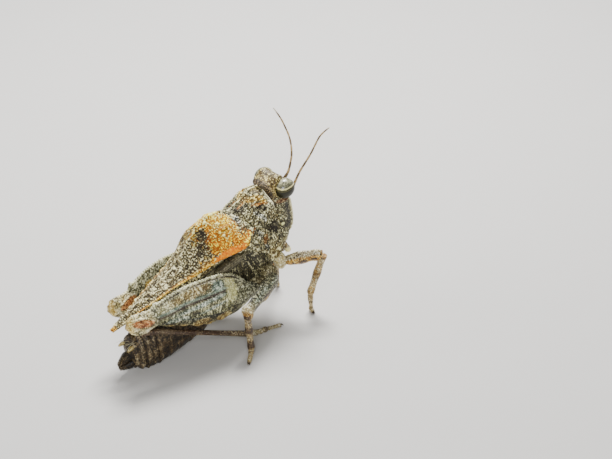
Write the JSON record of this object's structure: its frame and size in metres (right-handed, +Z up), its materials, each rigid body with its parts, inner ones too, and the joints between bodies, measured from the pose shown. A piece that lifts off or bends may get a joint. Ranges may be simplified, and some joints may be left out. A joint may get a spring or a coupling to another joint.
{
  "type": "pygmy grasshopper",
  "caption": "Still life-size model of a pygmy grasshopper standing with folded hind legs, a humped neck shield drawn out over the body and raised feelers.",
  "frame": {"origin": "on the floor, under the middle of the whole model's box", "axes": "+X the way the insect faces, +Y to its left, +Z up from the floor"},
  "size_m": [0.0119, 0.0067, 0.0089],
  "materials": {
    "shield_mottled": "granular horn, mottled grey-brown and cream, with an orange shoulder patch, matt",
    "horn_pale": "granular horn, beige with dark specks, matt",
    "eye_dark": "smooth domed eye, olive brown with a pale band, glossy",
    "thigh_grey_green": "grey-green horn with herringbone ribs and a pale band, satin",
    "leg_banded": "cream and brown banded horn, satin",
    "belly_brown": "brown segmented horn, satin",
    "wing_brown": "smooth grey-brown leathery wing, satin",
    "feeler_tan": "ringed tan and brown horn, satin"
  },
  "bodies": {
    "root": {"abdomen": "belly_brown", "antenna_left": "feeler_tan", "antenna_right": "feeler_tan", "cercus_left": "belly_brown", "cercus_right": "belly_brown", "coxa_fore_left": "belly_brown", "coxa_fore_right": "belly_brown", "coxa_hind_left": "belly_brown", "coxa_hind_right": "belly_brown", "coxa_mid_left": "belly_brown", "coxa_mid_right": "belly_brown", "eye_left": "eye_dark", "eye_right": "eye_dark", "femur_fore_left": "leg_banded", "femur_fore_right": "leg_banded", "femur_hind_left": "thigh_grey_green", "femur_hind_right": "thigh_grey_green", "femur_mid_left": "leg_banded", "femur_mid_right": "leg_banded", "head": "horn_pale", "hindwing_left": "wing_brown", "hindwing_right": "wing_brown", "labrum": "horn_pale", "ovipositor_lower": "belly_brown", "ovipositor_upper": "belly_brown", "palp_left": "horn_pale", "palp_right": "horn_pale", "pronotum": "shield_mottled", "tarsus_fore_left": "leg_banded", "tarsus_fore_right": "leg_banded", "tarsus_hind_left": "leg_banded", "tarsus_hind_right": "leg_banded", "tarsus_mid_left": "leg_banded", "tarsus_mid_right": "leg_banded", "tegmen_left": "wing_brown", "tegmen_right": "wing_brown", "thorax": "belly_brown", "tibia_fore_left": "leg_banded", "tibia_fore_right": "leg_banded", "tibia_hind_left": "leg_banded", "tibia_hind_right": "leg_banded", "tibia_mid_left": "leg_banded", "tibia_mid_right": "leg_banded"}
  },
  "joints": []
}
